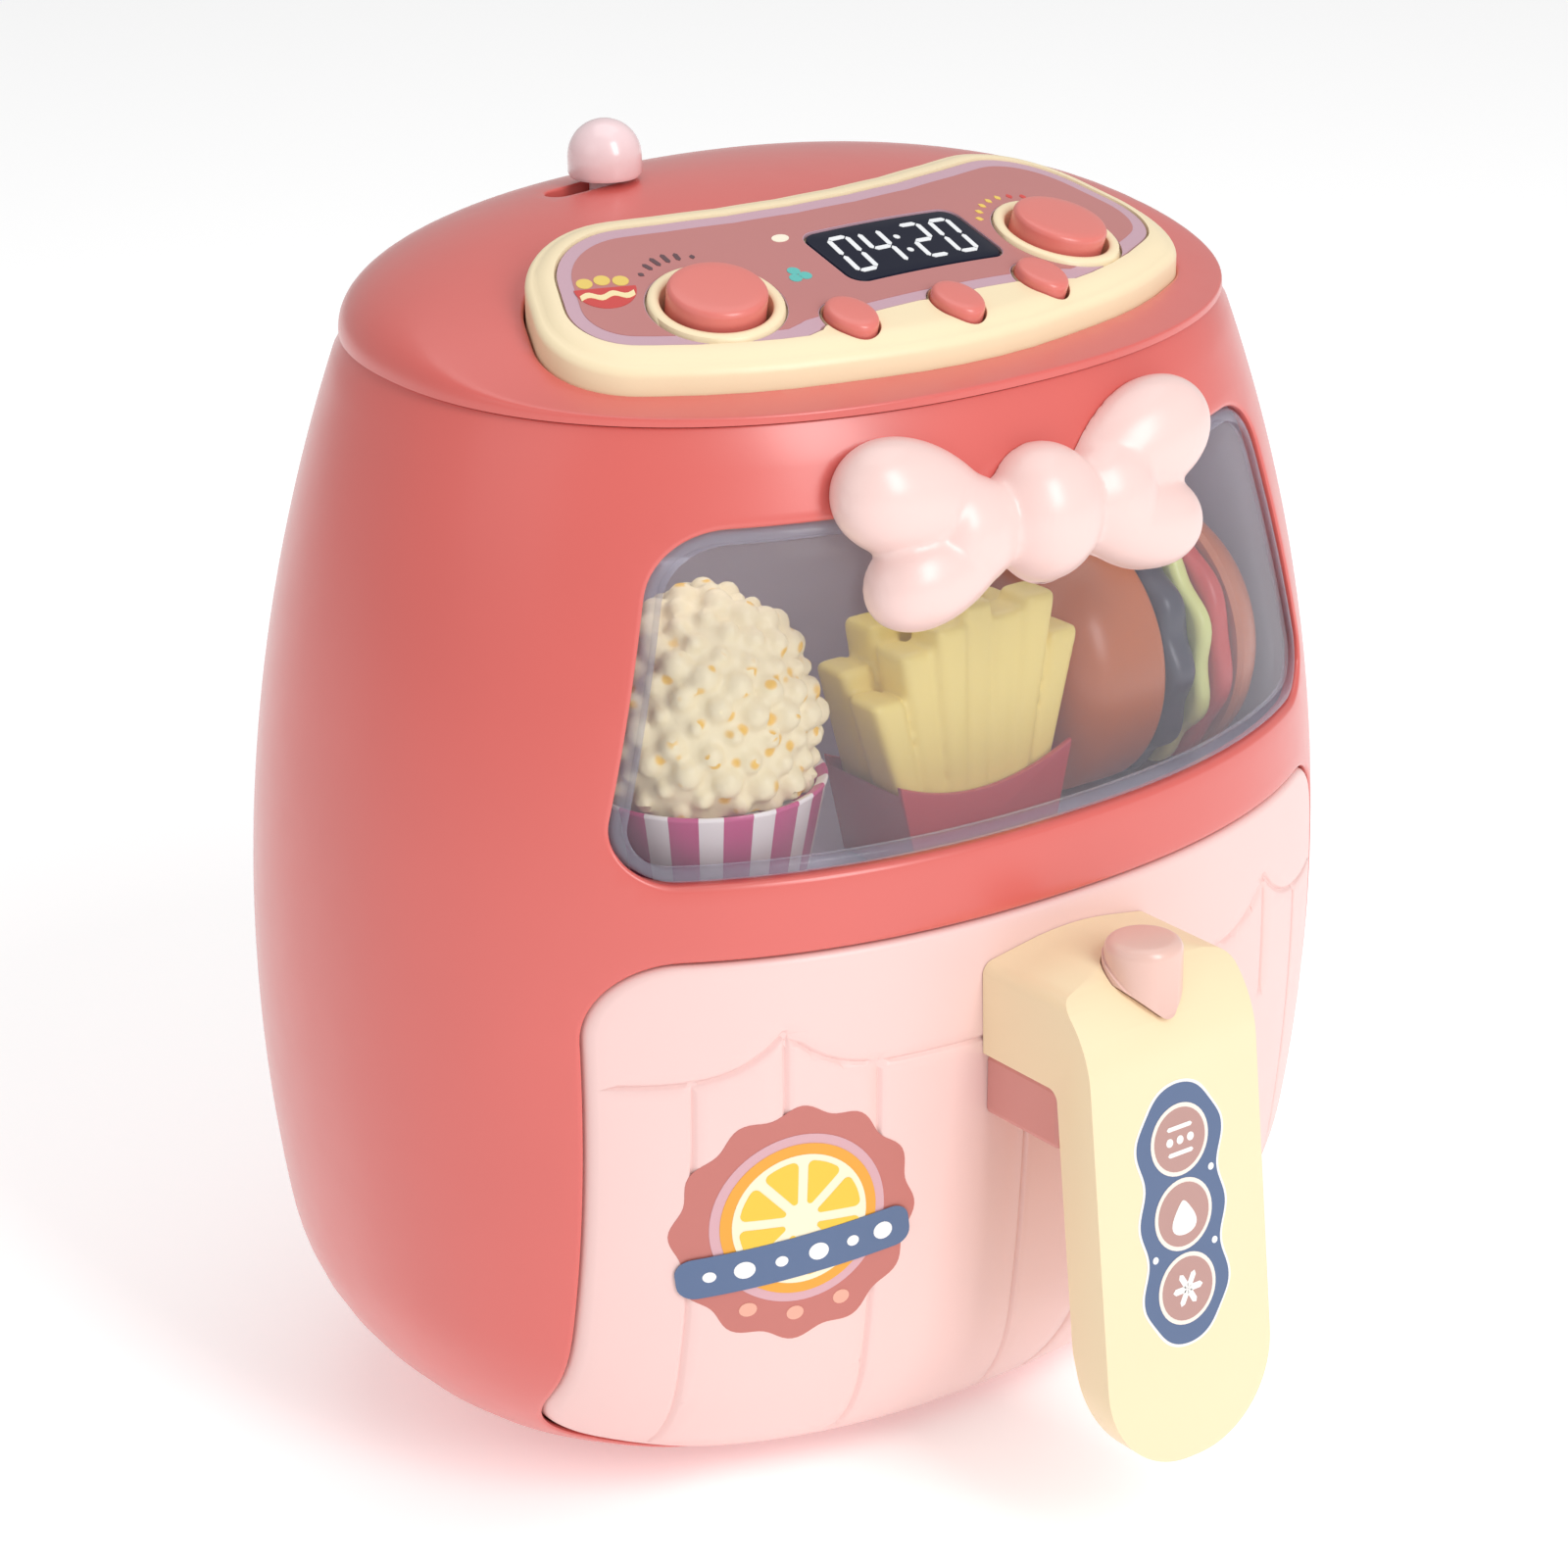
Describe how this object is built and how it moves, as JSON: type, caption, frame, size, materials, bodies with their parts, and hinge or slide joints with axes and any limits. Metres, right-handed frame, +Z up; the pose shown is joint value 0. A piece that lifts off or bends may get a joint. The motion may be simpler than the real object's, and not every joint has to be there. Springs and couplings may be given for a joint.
{
  "type": "toy air fryer",
  "caption": "Play air fryer: a barrel-shaped housing with a domed lid, a raised control panel, a window with play food, a bow and a pull-out basket drawer.",
  "frame": {"origin": "centre of the flat base plate's underside", "axes": "+Z up, -Y towards the front with the drawer and window, +X to the right as seen from the front"},
  "size_m": [0.1612, 0.1498, 0.1792],
  "materials": {
    "coral_plastic": "smooth satin, moulded in coral",
    "pale_pink_plastic": "smooth satin, pale pink",
    "bow_plastic": "smooth satin, light pink",
    "cream_plastic": "smooth satin, cream",
    "knob_plastic": "glossy pink",
    "button_plastic": "soft satin coral",
    "release_plastic": "satin dusty pink",
    "bracket_plastic": "satin rose",
    "printed_sheet": "printed dusty rose and mauve",
    "display_plastic": "glossy dark navy",
    "clear_plastic": "clear, glossy",
    "liner_plastic": "matt mauve grey",
    "inner_plastic": "matt grey",
    "pan_plastic": "satin pink",
    "black_plastic": "matt black",
    "circuit_board": "green board",
    "grille_metal": "satin metal",
    "contact_metal": "plated spring steel",
    "cell_wrap": "blue wrapped steel can",
    "popcorn_plastic": "matt ivory",
    "tub_plastic": "white with magenta stripes",
    "fries_plastic": "matt yellow",
    "box_plastic": "satin red",
    "bun_plastic": "satin brown",
    "patty_plastic": "matt dark",
    "tomato_plastic": "glossy red",
    "lettuce_plastic": "matt pale green"
  },
  "bodies": {
    "housing": {"front_shell": "coral_plastic", "window_pane": "clear_plastic", "rear_cover": "coral_plastic", "battery_door": "coral_plastic", "base_plate": "coral_plastic", "drawer_bay": "inner_plastic", "chamber_liner": "liner_plastic", "chamber_lamp": "clear_plastic", "popcorn_tub": "tub_plastic", "popcorn": "popcorn_plastic", "fries_box": "box_plastic", "fries": "fries_plastic", "burger_bun_bottom": "bun_plastic", "burger_patty": "patty_plastic", "burger_lettuce": "lettuce_plastic", "burger_tomato": "tomato_plastic", "burger_bun_top": "bun_plastic", "bow": "bow_plastic", "top_cover": "coral_plastic", "control_panel": "cream_plastic", "panel_overlay": "printed_sheet", "display_lens": "display_plastic", "control_board": "circuit_board", "speaker": "black_plastic", "switch_body": "inner_plastic", "battery_box": "inner_plastic", "battery_cell_upper": "cell_wrap", "battery_cell_lower": "cell_wrap", "battery_contact_bridge": "contact_metal", "battery_contact_lower": "contact_metal", "battery_contact_upper": "contact_metal"},
    "drawer": {"drawer_front": "pale_pink_plastic", "drawer_pan": "pan_plastic", "crisper_plate": "grille_metal", "handle": "cream_plastic", "handle_bracket": "bracket_plastic"},
    "release_button": {"release_button": "release_plastic"},
    "slide_knob": {"slide_knob": "knob_plastic", "knob_retainer": "inner_plastic"},
    "power_switch": {"power_switch": "black_plastic"},
    "big_button_left": {"big_button_left": "button_plastic"},
    "big_button_right": {"big_button_right": "button_plastic"},
    "small_button_left": {"small_button_left": "button_plastic"},
    "small_button_middle": {"small_button_middle": "button_plastic"},
    "small_button_right": {"small_button_right": "button_plastic"}
  },
  "joints": [
    {"name": "drawer_slide", "type": "slide", "parent": "housing", "child": "drawer", "axis": [0, -1, 0], "range_m": [0, 0.07]},
    {"name": "release_press", "type": "slide", "parent": "drawer", "child": "release_button", "axis": [0, 0, -1], "range_m": [0, 0.0025], "stiffness_N_per_m": 300, "springref_m": -0.001},
    {"name": "knob_slide", "type": "slide", "parent": "housing", "child": "slide_knob", "axis": [-1, 0, 0], "range_m": [0, 0.007]},
    {"name": "switch_slide", "type": "slide", "parent": "housing", "child": "power_switch", "axis": [1, 0, 0], "range_m": [0, 0.004]},
    {"name": "big_button_left_press", "type": "slide", "parent": "housing", "child": "big_button_left", "axis": [0.094, 0.2861, -0.9536], "range_m": [0, 0.002], "stiffness_N_per_m": 300, "springref_m": -0.001},
    {"name": "big_button_right_press", "type": "slide", "parent": "housing", "child": "big_button_right", "axis": [-0.094, 0.2861, -0.9536], "range_m": [0, 0.002], "stiffness_N_per_m": 300, "springref_m": -0.001},
    {"name": "small_button_left_press", "type": "slide", "parent": "housing", "child": "small_button_left", "axis": [0.0493, 0.287, -0.9567], "range_m": [0, 0.0012], "stiffness_N_per_m": 300, "springref_m": -0.001},
    {"name": "small_button_middle_press", "type": "slide", "parent": "housing", "child": "small_button_middle", "axis": [-0.0033, 0.2873, -0.9578], "range_m": [0, 0.0012], "stiffness_N_per_m": 300, "springref_m": -0.001},
    {"name": "small_button_right_press", "type": "slide", "parent": "housing", "child": "small_button_right", "axis": [-0.0559, 0.2869, -0.9563], "range_m": [0, 0.0012], "stiffness_N_per_m": 300, "springref_m": -0.001}
  ]
}
